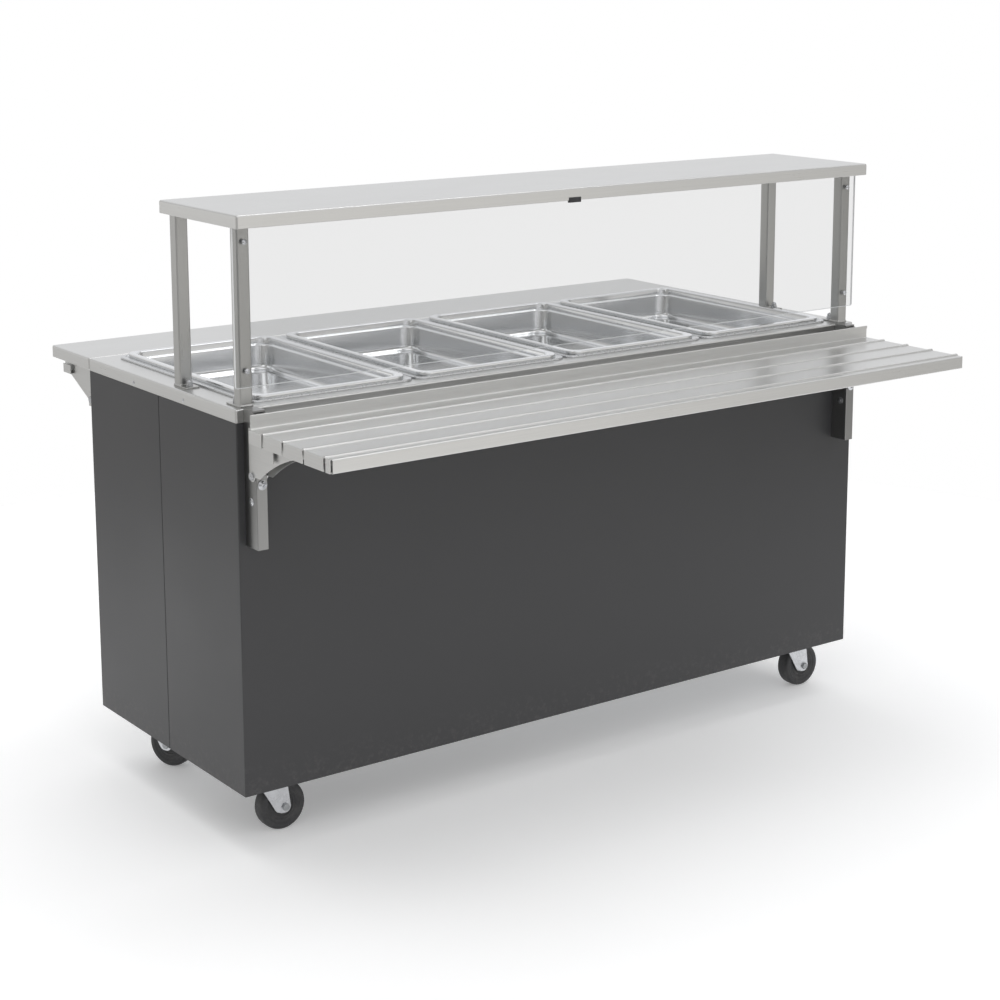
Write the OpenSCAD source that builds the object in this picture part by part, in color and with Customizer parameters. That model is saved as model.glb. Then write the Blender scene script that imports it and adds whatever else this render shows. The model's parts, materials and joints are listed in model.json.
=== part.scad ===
// Mobile steam table. Four heated wells hang in a stainless worktop on a clad
// cabinet with casters. An overshelf on four posts carries a clear guard. A
// tray slide on the customer side and a work shelf on the operator side fold
// down. The origin is on the floor under the middle of the outline, +X runs
// along the length, -Y faces the customer and +Z is up.

/* [Worktop] */
// Length of the worktop and cabinet
top_l = 1524; // [1500:2:1560]
// Depth of the worktop, front to back
top_d = 600; // [596:1:620]
// Height of the worktop above the floor
top_h = 840; // [830:1:900]
// Height of the turned-down lip
lip_h = 25; // [22:1:30]
// Thickness of the sheet metal
sheet = 1.5; // [1.2:0.1:1.8]

/* [Wells and pans] */
// Distance between neighbouring well centres
well_pitch = 359; // [357:1:362]
// Width of one well opening
well_w = 310; // [306:1:312]
// Depth of one well opening, front to back
well_d = 513; // [510:1:514]
// Depth of the well below the worktop
well_h = 150; // [130:1:160]
// Height of the well rim above the worktop
rim_h = 4; // [3:0.5:5]
// Depth of a food pan
pan_h = 65; // [40:1:100]

/* [Cabinet] */
// Height of the bottom edge of the panels above the floor
panel_z = 116; // [110:1:120]
// Height of the caster mounting plane above the floor
base_z = 134; // [132:1:140]

/* [Overshelf and guard] */
// Length of the overshelf
over_l = 1530; // [1526:1:1560]
// Depth of the overshelf
over_d = 294; // [290:1:300]
// Height of the overshelf top above the worktop
over_rise = 347; // [300:1:400]
// Width of a square post
post_w = 25; // [22:1:26]
// Thickness of the guard
guard_t = 5; // [4:0.5:6]
// Gap between the worktop and the guard
guard_gap = 36; // [30:1:60]

/* [Tray slide] */
// Depth of the tray slide
tray_d = 276; // [260:1:300]
// Distance between the cabinet and the tray slide
tray_gap = 44; // [44:1:50]
// Drop of the tray surface below the worktop
tray_drop = 28; // [26:1:34]
// Number of raised ribs
rib_n = 4; // [2:1:4]
// Distance between neighbouring ribs
rib_pitch = 69; // [60:1:70]

/* [Work shelf] */
// Depth of the operator's work shelf
shelf_d = 178; // [170:1:200]
// Height of the work shelf's flanges
shelf_lip = 24; // [20:1:26]

/* [Casters] */
// Diameter of a wheel
wheel_d = 96; // [90:1:104]
// Width of a wheel
wheel_w = 32; // [28:1:34]
// Distance from the swivel axis to the axle
trail = 29; // [27:1:31]
// Direction each caster trails, from +X: front left, front right, rear left, rear right
caster_turn = [0, 0, -65, 0]; // [-180:5:180]

/* [Hidden] */

CORNERS = ["front_left", "front_right", "rear_left", "rear_right"];
WELLS = [1, 2, 3, 4];
$fn = 48;
eps = 1;            // how far a cutter runs past a face
fit = 0.06;         // radial clearance of a part that turns on a pin
loose = 0.2;        // radial clearance of a fastener's hole

// Outline: the tray slide reaches forward and the work shelf reaches back
reach_front = tray_gap + tray_d;
front_y = (reach_front - top_d - shelf_d) / 2;
left_x = -top_l / 2;
well_y = front_y + top_d / 2;
under_z = top_h - sheet;

// Square tube frame inside the panels
tube_w = 25;
tube_t = 2;
frame_in = 16;                      // from the outside of the cabinet to the frame
rail_z = under_z - tube_w;          // underside of the top rails
deck_z = base_z + 27;               // top of the bottom rails
cross_w = 70;                       // width of the cross rail that carries two casters
panel_top = top_h - lip_h;

// Wells
rim_w = well_pitch - 4;
rim_d = well_d + 27;
rim_r = 22;
well_r = 20;
well_z = top_h - well_h;
socket_h = 14;
pipe_r = 12;
pipe_bore = 10;
pipe_z = well_z - socket_h - 22;
heater_r = 4;
heater_half = 60;                   // half the distance between the two heater runs
heater_z = well_z + sheet + 14;

// Pans
pan_flange_w = 325;
pan_flange_d = 528;
pan_open_w = 300;
pan_open_d = 503;
pan_t = 1.2;
pan_lip = 6;                        // the flange stands this high on the well rim
pan_top = top_h + rim_h + pan_lip;

// Control panel and what is on it
ctrl_y = top_d - 3;                 // inside face of the control panel
ctrl_z = well_z + 10;
ctrl_top = top_h - lip_h - 1;
ctrl_face = ctrl_y + sheet;
knob_z = (ctrl_z + ctrl_top) / 2;
knob_r = 20;
knob_gap = 1;
shaft_r = 3;
light_dx = 55;                      // from a knob's axis to its indicator light
switch_x = 100;
switch_w = 24;
switch_h = 34;
rocker_tilt = 8;
inlet_x = top_l - 95;
valve_x = 630;                      // drain valve, measured from the middle
valve_y = top_d - 93;
tail_l = 44;                        // the hose tail behind the drain valve
tail_r = 13.3;

// Overshelf, posts and guard
over_z = top_h + over_rise;
over_y = -26;
over_lip = 24;
post_x = 14;
post_front = 7;
post_rear = 236;
foot_t = 3;
foot_l = post_w + 26;
foot_bolt = 13;                     // from the post's face to the bolt
post_bolt_y = [post_front + post_w + foot_bolt, post_rear - foot_bolt];
guard_top = over_z - 6;
guard_side = 11;                    // the guard runs this far past the posts
guard_screw_z = [top_h + 66, top_h + 296];
rivet_y = [200, 403];
rivet_z = top_h - 17;

// Tray slide
tray_z = top_h - tray_drop;
tray_lip = 25;
upstand_h = 26;
rib_h = 3;
rib_w = 8;
rib_first = 49;
slit_w = 6;
bracket_x = 14.5;
bracket_shift = 20.5;               // the right bracket stands this much further in
bracket_w = 22;
bracket_d = 43;
bracket_h = 250;
bracket_bolt_y = -25;               // the bolt across each bracket
tray_pin_y = -31;
tray_pin_z = top_h - 116;
arm_t = 1.6;
arm_gap = 0.7;                      // between an arm's plates and the bracket
arm_arc = 385;                      // radius of the hollow edge under an arm
arm_reach = 286;                    // from the cabinet to the top of that hollow
arm_tip = tray_d - 10;
pin_r = 5;
cross_bolt_z = top_h - 164;
face_bolt_z = top_h - 131;

// Work shelf
hinge_x = 8;
hinge_w = 30;
shelf_pin_y = top_d + 16;
shelf_pin_z = top_h - 88;
shelf_arm_l = 140;

// Casters
caster_in_x = 89;
caster_in_y = 85;
caster_plate_t = 3;
bolt_dx = 23;
bolt_dy = 33;
crown_z = base_z - 15;              // top of the fork's crown
crown_t = 3.5;
leg_t = 3;
leg_y = wheel_w / 2 + 3.5;
axle_r = 5;
axle_z = wheel_d / 2;
brake_x = 44;
brake_z = crown_z - 12;

function well_x(i) = (i - 2.5) * well_pitch;
function corner_x(i) = (i % 2 == 0 ? -1 : 1) * (top_l / 2 - caster_in_x);
function corner_y(i) = i < 2 ? front_y + caster_in_y : front_y + top_d - caster_in_y;

// A block between two corners, measured from the left end, the front and the floor
module block(x0, x1, y0, y1, z0, z1) {
    translate([left_x + x0, front_y + y0, z0])
        cube([x1 - x0, y1 - y0, z1 - z0]);
}

// Rods along X, Y and Z, measured in the same way
module rod_x(x0, x1, y, z, r) {
    translate([left_x + x0, front_y + y, z])
        rotate([0, 90, 0]) cylinder(h = x1 - x0, r = r);
}

module rod_y(x, y0, y1, z, r) {
    translate([left_x + x, front_y + y0, z])
        rotate([-90, 0, 0]) cylinder(h = y1 - y0, r = r);
}

module rod_z(x, y, z0, z1, r) {
    translate([left_x + x, front_y + y, z0])
        cylinder(h = z1 - z0, r = r);
}

// A plate whose outline is drawn in (y, z), from x0 to x1
module plate_x(x0, x1) {
    translate([left_x + x0, front_y, 0])
        rotate([90, 0, 90]) linear_extrude(x1 - x0) children();
}

module both_ends() {
    children();
    mirror([1, 0, 0]) children();
}

module both_brackets() {
    children();
    mirror([1, 0, 0]) translate([bracket_shift, 0, 0]) children();
}

module rounded(w, d, r) {
    square([w - 2 * r, d], center = true);
    square([w, d - 2 * r], center = true);
    for (sx = [-1, 1], sy = [-1, 1])
        translate([sx * (w / 2 - r), sy * (d / 2 - r)]) circle(r);
}

// An upside-down tray of sheet metal: a flat top with a flange all round
module folded_top(x0, x1, y0, y1, top, flange) {
    difference() {
        block(x0, x1, y0, y1, top - flange, top);
        block(x0 + sheet, x1 - sheet, y0 + sheet, y1 - sheet, top - flange - eps, top - sheet);
    }
}

module tube(x0, x1, y0, y1, z0, z1, axis) {
    a = axis == "x" ? [-eps, tube_t, tube_t] : axis == "y" ? [tube_t, -eps, tube_t] : [tube_t, tube_t, -eps];
    difference() {
        block(x0, x1, y0, y1, z0, z1);
        block(x0 + a[0], x1 - a[0], y0 + a[1], y1 - a[1], z0 + a[2], z1 - a[2]);
    }
}

// ---- Worktop and cabinet ----

module post_bolt_holes(z0, z1) {
    both_ends()
        for (y = post_bolt_y) rod_z(post_x + post_w / 2, y, z0, z1, 3 + loose);
}

module worktop() {
    color("#a9a7a2") difference() {
        folded_top(0, top_l, 0, top_d, top_h, lip_h);
        for (i = WELLS)
            translate([well_x(i), well_y, under_z - eps])
                linear_extrude(sheet + 2 * eps)
                    rounded(well_w + 2 * sheet + 1, well_d + 2 * sheet + 1, well_r + sheet + 0.5);
        post_bolt_holes(under_z - eps, top_h + eps);
        both_ends()
            for (y = rivet_y) rod_x(-eps, sheet + eps, y, rivet_z, 2 + fit);
    }
}

// A panel with its bottom edge and its seam edge turned in
module front_panel() {
    half = top_d / 2;
    color("#4a4a4c") difference() {
        block(0, top_l, 0, half, panel_z, panel_top);
        block(sheet, top_l - sheet, sheet, half - sheet, panel_z + sheet, panel_top + eps);
        block(14, top_l - 14, 14, half + eps, panel_z - eps, panel_top + eps);
        both_brackets()
            rod_y(bracket_x + bracket_w / 2, -eps, sheet + eps, face_bolt_z, 4 + loose);
    }
}

module end_panels() {
    y0 = top_d / 2 + 0.8;
    color("#5a5a5c") both_ends() difference() {
        block(0, 28, y0, top_d, panel_z, panel_top);
        block(sheet, 28 + eps, y0 + sheet, top_d - sheet, panel_z + sheet, panel_top + eps);
        block(14, 28 + eps, y0 - eps, top_d - sheet, panel_z - eps, panel_top + eps);
    }
}

module base_deck() {
    color("#b5b5b3") difference() {
        block(15, top_l - 15, 3, top_d - 3, deck_z, deck_z + sheet);
        for (y = upright_y()) both_ends()
            block(frame_in - loose, frame_in + tube_w + loose, y - loose, y + tube_w + loose,
                deck_z - eps, deck_z + sheet + eps);
    }
}

function upright_y() = [frame_in, (top_d - tube_w) / 2, top_d - frame_in - tube_w];

module uprights() {
    color("#9a9a98") both_ends()
        for (y = upright_y())
            tube(frame_in, frame_in + tube_w, y, y + tube_w, deck_z, rail_z, "z");
}

module long_rails() {
    color("#9a9a98")
        for (y = [frame_in, top_d - frame_in - tube_w]) {
            tube(frame_in, top_l - frame_in, y, y + tube_w, base_z, deck_z, "x");
            tube(frame_in, top_l - frame_in, y, y + tube_w, rail_z, under_z, "x");
        }
}

module cross_rails() {
    y0 = frame_in + tube_w;
    y1 = top_d - y0;
    color("#9a9a98") difference() {
        union() {
            both_ends() {
                tube(frame_in, frame_in + tube_w, y0, y1, rail_z, under_z, "y");
                tube(caster_in_x - cross_w / 2, caster_in_x + cross_w / 2, y0, y1, base_z, deck_z, "y");
            }
            tube((top_l - tube_w) / 2, (top_l + tube_w) / 2, y0, y1, base_z, deck_z, "y");
        }
        post_bolt_holes(under_z - tube_t - eps, under_z + eps);
        caster_bolt_holes(base_z - eps, base_z + tube_t + eps);
    }
}

// ---- Wells, heat and drain ----

module well(i) {
    color("#b9bbbd") translate([well_x(i), well_y, 0]) difference() {
        union() {
            translate([0, 0, top_h]) linear_extrude(rim_h) rounded(rim_w, rim_d, rim_r);
            translate([0, 0, well_z]) linear_extrude(well_h)
                rounded(well_w + 2 * sheet, well_d + 2 * sheet, well_r + sheet);
            translate([0, 0, well_z - socket_h]) cylinder(h = socket_h + eps, r = pipe_r + 2);
        }
        translate([0, 0, well_z + sheet]) linear_extrude(well_h + rim_h)
            rounded(well_w, well_d, well_r);
        translate([0, 0, well_z - socket_h - eps]) cylinder(h = socket_h + 2 * sheet + eps, r = pipe_bore);
        for (sx = [-1, 1])
            translate([sx * heater_half, heater_end(), well_z - eps])
                cylinder(h = sheet + 2 * eps, r = heater_r + loose);
    }
}

function heater_end() = 60 - well_d / 2;

// One hairpin rod a well: two runs, a half-round bend, and legs down through the floor
module heating_elements() {
    bend_y = well_d / 2 - 60 - heater_half;
    color("#6a6460") for (i = WELLS)
        translate([well_x(i), well_y, heater_z]) {
            for (sx = [-1, 1]) translate([sx * heater_half, heater_end(), 0]) {
                rotate([-90, 0, 0]) cylinder(h = bend_y - heater_end(), r = heater_r);
                sphere(heater_r);
                translate([0, 0, well_z - 16 - heater_z])
                    cylinder(h = heater_z - well_z + 16, r = heater_r);
            }
            translate([0, bend_y, 0])
                rotate_extrude(angle = 180) translate([heater_half, 0]) circle(heater_r);
        }
}

// The run of pipe under the wells, solid for r = pipe_r and its bore for r = pipe_bore
module pipe_run(r, top) {
    translate([well_x(1), well_y, pipe_z])
        rotate([0, 90, 0]) cylinder(h = valve_x - well_x(1), r = r);
    for (i = WELLS)
        translate([well_x(i), well_y, pipe_z]) cylinder(h = top - pipe_z, r = r);
    translate([valve_x, well_y, pipe_z])
        rotate([-90, 0, 0]) cylinder(h = front_y + valve_y - 25 - well_y + (top - well_z + socket_h), r = r);
    for (x = [well_x(1), valve_x])
        translate([x, well_y, pipe_z]) sphere(r);
}

module drain_manifold() {
    color("#8f9193") difference() {
        pipe_run(pipe_r, well_z - socket_h);
        pipe_run(pipe_bore, well_z - socket_h + eps);
    }
}

module drain_valve() {
    tail_y = valve_y + 25;
    color("#b08d4a") difference() {
        union() {
            translate([valve_x, front_y + valve_y - 25, pipe_z])
                rotate([-90, 0, 0]) cylinder(h = 50, r = 17);
            translate([valve_x, front_y + tail_y, pipe_z])
                rotate([-90, 0, 0]) cylinder(h = tail_l, r = tail_r);
            translate([valve_x, front_y + valve_y, pipe_z]) cylinder(h = 20, r = 9);
            translate([valve_x, front_y + valve_y, pipe_z]) cylinder(h = 28, r = 4);
        }
        translate([valve_x, front_y + valve_y - 26, pipe_z])
            rotate([-90, 0, 0]) cylinder(h = 52 + tail_l, r = pipe_bore);
    }
}

module drain_lever() {
    color("#b3261e") translate([valve_x, front_y + valve_y, pipe_z + 20.3]) difference() {
        union() {
            cylinder(h = 6, r = 10);
            translate([-78, -7, 0]) cube([78, 14, 3]);
            translate([-78, 0, 0]) cylinder(h = 3, r = 7);
        }
        translate([0, 0, -eps]) cylinder(h = 6 + 2 * eps, r = 4 + fit);
    }
}

// ---- Operator controls ----

function knob_at(i) = well_x(i) - left_x;

module control_panel() {
    x0 = 31;
    x1 = top_l - x0;
    color("#b4b4b2") difference() {
        block(x0, x1, ctrl_y - 10, ctrl_face, ctrl_z, ctrl_top);
        block(x0 + sheet, x1 - sheet, ctrl_y - 11, ctrl_y, ctrl_z + sheet, ctrl_top - sheet);
        for (i = WELLS) {
            rod_y(knob_at(i), ctrl_y - eps, ctrl_face + eps, knob_z, shaft_r + 1);
            rod_y(knob_at(i) + light_dx, ctrl_y - eps, ctrl_face + eps, knob_z, 4 + loose);
        }
        block(switch_x - switch_w / 2, switch_x + switch_w / 2, ctrl_y - eps, ctrl_face + eps,
            knob_z - switch_h / 2, knob_z + switch_h / 2);
        rod_y(inlet_x, ctrl_y - eps, ctrl_face + eps, knob_z, 11 + loose);
    }
}

module thermostats() {
    color("#c9c7be") for (i = WELLS) {
        block(knob_at(i) - 20, knob_at(i) + 20, ctrl_y - 26, ctrl_y, knob_z - 20, knob_z + 20);
        rod_y(knob_at(i), ctrl_y - 1, ctrl_face + 16, knob_z, shaft_r);
    }
}

// The knob's axis runs along Y, with a raised grip across its face
module knob(i) {
    y0 = ctrl_face + knob_gap;
    color("#1c1c1e") difference() {
        union() {
            rod_y(knob_at(i), y0, y0 + 3, knob_z, knob_r + 3);
            rod_y(knob_at(i), y0 + 3, y0 + 12, knob_z, knob_r);
            block(knob_at(i) - 4, knob_at(i) + 4, y0 + 10, y0 + 22, knob_z - knob_r + 1, knob_z + knob_r - 1);
        }
        rod_y(knob_at(i), y0 - eps, y0 + 16, knob_z, shaft_r + fit);
    }
}

module indicator_lights() {
    color("#d9822b") for (i = WELLS)
        translate([left_x + knob_at(i) + light_dx, front_y + ctrl_face, knob_z]) {
            rotate([-90, 0, 0]) cylinder(h = 2, r = 6);
            rotate([-90, 0, 0]) translate([0, 0, -6]) cylinder(h = 7, r = 4);
            translate([0, 2, 0]) intersection() {
                sphere(4.6);
                rotate([-90, 0, 0]) translate([0, 0, -eps]) cylinder(h = 9, r = 6);
            }
        }
}

module switch_housing() {
    w = switch_w - 1;
    h = switch_h - 1;
    color("#2a2a2c") difference() {
        union() {
            block(switch_x - w / 2, switch_x + w / 2, ctrl_y - 18, ctrl_face, knob_z - h / 2, knob_z + h / 2);
            block(switch_x - w / 2 - 3, switch_x + w / 2 + 3, ctrl_face, ctrl_face + 2,
                knob_z - h / 2 - 3, knob_z + h / 2 + 3);
        }
        block(switch_x - w / 2 + 2, switch_x + w / 2 - 2, ctrl_y - 12, ctrl_face + 3,
            knob_z - h / 2 + 2, knob_z + h / 2 - 2);
        rod_x(switch_x - w / 2 + eps, switch_x + w / 2 - eps, ctrl_y - 2, knob_z, 2 + fit);
    }
}

// The rocker rests tilted, with its lower half pressed in
module power_rocker() {
    w = switch_w - 6;
    h = switch_h - 8;
    color("#b3261e")
        translate([left_x + switch_x, front_y + ctrl_y - 2, knob_z])
            rotate([-rocker_tilt, 0, 0]) {
                translate([-w / 2, -2, -h / 2]) cube([w, 6, h]);
                rotate([0, 90, 0]) translate([0, 0, -w / 2 - 1]) cylinder(h = w + 2, r = 2);
            }
}

module power_inlet() {
    color("#3a3a3c") difference() {
        union() {
            rod_y(inlet_x, ctrl_y - 14, ctrl_face + 10, knob_z, 11);
            rod_y(inlet_x, ctrl_face, ctrl_face + 4, knob_z, 15);
            translate([left_x + inlet_x, front_y + ctrl_face + 4, knob_z])
                rotate([-90, 0, 0]) cylinder(h = 10, r = 14, $fn = 6);
            translate([left_x + inlet_x, front_y + ctrl_y - 6, knob_z])
                rotate([-90, 0, 0]) cylinder(h = 6, r = 15, $fn = 6);
        }
        rod_y(inlet_x, ctrl_y - 15, ctrl_face + 20, knob_z, 6);
    }
}

// ---- Overshelf, posts and guard ----

module overshelf() {
    x0 = (top_l - over_l) / 2;
    color("#c9cacc")
        folded_top(x0, top_l - x0, over_y, over_y + over_d, over_z, over_lip);
}

// A square tube on a foot that runs towards the middle of the worktop
module shelf_posts() {
    x1 = post_x + post_w;
    color("#a3a4a5") both_ends() for (k = [0, 1]) {
        y0 = k == 0 ? post_front : post_rear;
        foot_y = k == 0 ? post_front : post_rear + post_w - foot_l;
        difference() {
            union() {
                tube(post_x, x1, y0, y0 + post_w, top_h + foot_t, over_z - sheet, "z");
                block(post_x - 2, x1 + 2, foot_y, foot_y + foot_l, top_h, top_h + foot_t);
            }
            rod_z(post_x + post_w / 2, post_bolt_y[k], top_h - eps, top_h + foot_t + eps, 3 + loose);
            if (k == 0)
                for (z = guard_screw_z)
                    rod_y(post_x + post_w / 2, y0 - eps, y0 + tube_t + eps, z, 3 + loose);
        }
    }
}

module guard() {
    x0 = post_x - guard_side;
    color([0.85, 0.92, 0.92, 0.35]) difference() {
        block(x0, top_l - x0, post_front - guard_t, post_front, top_h + guard_gap, guard_top);
        both_ends()
            for (z = guard_screw_z)
                rod_y(post_x + post_w / 2, post_front - guard_t - eps, post_front + eps, z, 3 + loose);
    }
}

// A spring clip pressed onto the edge of the overshelf's front flange
module guard_clip() {
    mid = top_l / 2 - 28;
    z0 = over_z - over_lip;
    color("#3c3c3e") difference() {
        block(mid - 14, mid + 14, over_y - 1.5, over_y + sheet + 3, z0 - 4, z0 + 6);
        block(mid - 15, mid + 15, over_y - 0.05, over_y + sheet + 0.05, z0, z0 + 7);
    }
}

module dome_screw(head_r, head_h, shank_r, shank_l) {
    translate([0, 0, -shank_l]) cylinder(h = shank_l + head_h / 2, r = shank_r);
    cylinder(h = head_h * 0.4, r = head_r);
    intersection() {
        translate([0, 0, head_h - head_r * 1.4]) sphere(head_r * 1.4);
        cylinder(h = head_h, r = head_r);
    }
}

module guard_screws() {
    color("#d5d7d9") both_ends()
        for (z = guard_screw_z)
            translate([left_x + post_x + post_w / 2, front_y + post_front - guard_t, z])
                rotate([90, 0, 0]) dome_screw(5, 3, 3, guard_t + 8);
}

// A stud through foot, worktop and rail, with a hexagon and a domed cap on top
module post_bolts() {
    color("#d5d7d9") both_ends()
        for (y = post_bolt_y)
            translate([left_x + post_x + post_w / 2, front_y + y, top_h + foot_t]) {
                cylinder(h = 6, r = 7, $fn = 6);
                translate([0, 0, 6]) cylinder(h = 2, r = 5.5);
                translate([0, 0, 8]) sphere(5.4);
                translate([0, 0, -foot_t - 16]) cylinder(h = foot_t + 17, r = 3);
            }
}

module lip_rivets() {
    color("#cfd0d1") both_ends()
        for (y = rivet_y)
            translate([left_x, front_y + y, rivet_z])
                rotate([0, -90, 0]) dome_screw(3.5, 1.5, 2, 5);
}

// ---- Tray slide ----

module tray_brackets() {
    x1 = bracket_x + bracket_w;
    mid = bracket_x + bracket_w / 2;
    color("#9b9c9c") both_brackets() difference() {
        union() {
            tube(bracket_x, x1, -bracket_d, 0, top_h - bracket_h, under_z, "z");
            block(bracket_x - 2, x1 + 2, -bracket_d + 5, -4, under_z, top_h + 2.5);
            block(bracket_x + 1, x1 - 1, 1 - bracket_d, -1, top_h - bracket_h, top_h - bracket_h + tube_t);
        }
        rod_x(bracket_x - eps, x1 + eps, tray_pin_y, tray_pin_z, pin_r + loose);
        rod_x(bracket_x - eps, x1 + eps, bracket_bolt_y, cross_bolt_z, 4 + loose);
        rod_y(mid, -bracket_d - eps, eps, face_bolt_z, 4 + loose);
    }
}

// A bolt through each bracket into the cabinet and one across it
module bracket_bolts() {
    mid = left_x + bracket_x + bracket_w / 2;
    color("#c4c6c8") {
        both_brackets()
            translate([mid, front_y - bracket_d, face_bolt_z])
                rotate([90, 0, 0]) difference() {
                    dome_screw(9, 5, 4, bracket_d + 8);
                    translate([0, 0, 2]) cylinder(h = 4, r = 3.5, $fn = 6);
                }
        for (x = [mid, -mid - bracket_shift])
            translate([x - bracket_w / 2, front_y + bracket_bolt_y, cross_bolt_z])
                rotate([0, -90, 0]) dome_screw(7.5, 2.5, 4, bracket_w + 4);
    }
}

module fold_pin(x0, x1, y, z, head) {
    rod_x(x0, x1, y, z, pin_r);
    rod_x(x0 - 2.5, x0, y, z, head);
    rod_x(x1, x1 + 2.5, y, z, head);
}

// Pins that the tray slide's arms and the work shelf's arms turn on
module pivot_pins() {
    a = arm_gap + arm_t + 0.3;
    color("#d5d7d9") {
        both_brackets()
            fold_pin(bracket_x - a, bracket_x + bracket_w + a, tray_pin_y, tray_pin_z, 7);
        both_ends()
            fold_pin(hinge_x, hinge_x + hinge_w, shelf_pin_y, shelf_pin_z, 7);
    }
}

// Outline of the tray's sheet in (y, z): upstand, ribbed top and front flange
function rib_y(k) = -tray_gap - rib_first - k * rib_pitch;
function ribbed(z, s) = [
    for (k = [0:rib_n - 1], p = [[rib_w / 2 - s, 0], [0, rib_h], [s - rib_w / 2, 0]])
        [rib_y(k) + p[0], z + p[1]]
];
function backwards(list) = [for (k = [len(list) - 1:-1:0]) list[k]];

module tray_section() {
    y0 = -tray_gap;
    y1 = -tray_gap - tray_d;
    polygon(concat(
        [[y0, tray_z - sheet], [y0, tray_z + upstand_h], [y0 - 3.2, tray_z + upstand_h],
         [y0 - 3.2, tray_z + upstand_h - 6], [y0 - sheet, tray_z + upstand_h - 6], [y0 - sheet, tray_z]],
        ribbed(tray_z, 0),
        [[y1, tray_z], [y1, tray_z - tray_lip], [y1 + 10, tray_z - tray_lip],
         [y1 + 10, tray_z - tray_lip + sheet], [y1 + sheet, tray_z - tray_lip + sheet],
         [y1 + sheet, tray_z - sheet]],
        backwards(ribbed(tray_z - sheet, 0.3))
    ));
}

module tray_slide() {
    color("#cfd0d0") {
        difference() {
            union() {
                plate_x(0, top_l) tray_section();
                both_ends()
                    block(0, sheet, -tray_gap - tray_d, -tray_gap, tray_z - tray_lip, tray_z);
            }
            both_ends() for (k = [0:rib_n - 1])
                block(-eps, sheet + 0.1, rib_y(k) - slit_w / 2, rib_y(k) + slit_w / 2,
                    tray_z - tray_lip - eps, tray_z - sheet - eps);
        }
    }
}

// Outline of an arm's side plate in (y, z): a gusset with a hollow lower edge
module tray_arm_side() {
    top = tray_z - sheet;
    strip = 13;
    back = tray_pin_y + 9;
    difference() {
        union() {
            difference() {
                translate([-arm_reach, tray_pin_z]) square([arm_reach + back, top - tray_pin_z]);
                translate([-arm_reach, top - strip - arm_arc]) circle(arm_arc, $fn = 180);
            }
            translate([-tray_gap - arm_tip, top - strip]) square([arm_tip + tray_gap + back, strip]);
            translate([tray_pin_y, tray_pin_z]) circle(10);
        }
        translate([tray_pin_y, tray_pin_z]) circle(pin_r + fit);
    }
}

// Two side plates under a top plate. The outer one carries a bent ear
module tray_arms() {
    x0 = bracket_x - arm_gap - arm_t;
    x1 = bracket_x + bracket_w + arm_gap;
    top = tray_z - sheet;
    ear_low = top - 46;
    ear_top = top - 24;
    color("#a8a8a6") both_brackets() {
        plate_x(x0, x0 + arm_t) tray_arm_side();
        plate_x(x1, x1 + arm_t) tray_arm_side();
        block(x0, x1 + arm_t, -tray_gap - arm_tip, -tray_gap - 2, top - arm_t, top);
        block(x0 - 6, x0, -118, -78, ear_top - arm_t, ear_top);
        block(x0 - 6, x0 - 6 + arm_t, -118, -78, ear_low, ear_top);
    }
}

// ---- Work shelf ----

module rear_shelf() {
    color("#bfbfc0")
        folded_top(0, top_l, top_d + 0.7, top_d + shelf_d, top_h, shelf_lip);
}

module shelf_brackets() {
    x1 = hinge_x + hinge_w;
    color("#a0a0a0") both_ends() difference() {
        union() {
            block(hinge_x, x1, top_d, top_d + 2.5, shelf_pin_z - 36, shelf_pin_z + 46);
            for (x = [hinge_x, x1 - 2])
                block(x, x + 2, top_d + 2, shelf_pin_y + 10, shelf_pin_z - 14, shelf_pin_z + 14);
        }
        rod_x(hinge_x - eps, x1 + eps, shelf_pin_y, shelf_pin_z, pin_r + loose);
    }
}

module shelf_arm_side() {
    top = top_h - sheet;
    difference() {
        union() {
            polygon([[top_d + 6, shelf_pin_z], [top_d + 6, top], [top_d + shelf_arm_l, top],
                [top_d + shelf_arm_l, top - 36], [shelf_pin_y + 4, shelf_pin_z - 9]]);
            translate([shelf_pin_y, shelf_pin_z]) circle(10);
        }
        translate([shelf_pin_y, shelf_pin_z]) circle(pin_r + fit);
    }
}

module shelf_arms() {
    x0 = hinge_x + 3;
    x1 = hinge_x + hinge_w - 3 - arm_t;
    top = top_h - sheet;
    color("#a8a8a6") both_ends() {
        plate_x(x0, x0 + arm_t) shelf_arm_side();
        plate_x(x1, x1 + arm_t) shelf_arm_side();
        block(x0, x1 + arm_t, top_d + 6, top_d + shelf_arm_l, top - arm_t, top);
        block(x0 - 6, x0, top_d + 102, top_d + 136, top - 48, top - 48 + arm_t);
        block(x0 - 6, x0 - 6 + arm_t, top_d + 102, top_d + 136, top - 48, top - 30);
        block(x0, x0 + arm_t, top_d + 102, top_d + 136, top - 48, top - 30);
    }
}

// ---- Pans ----

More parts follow.
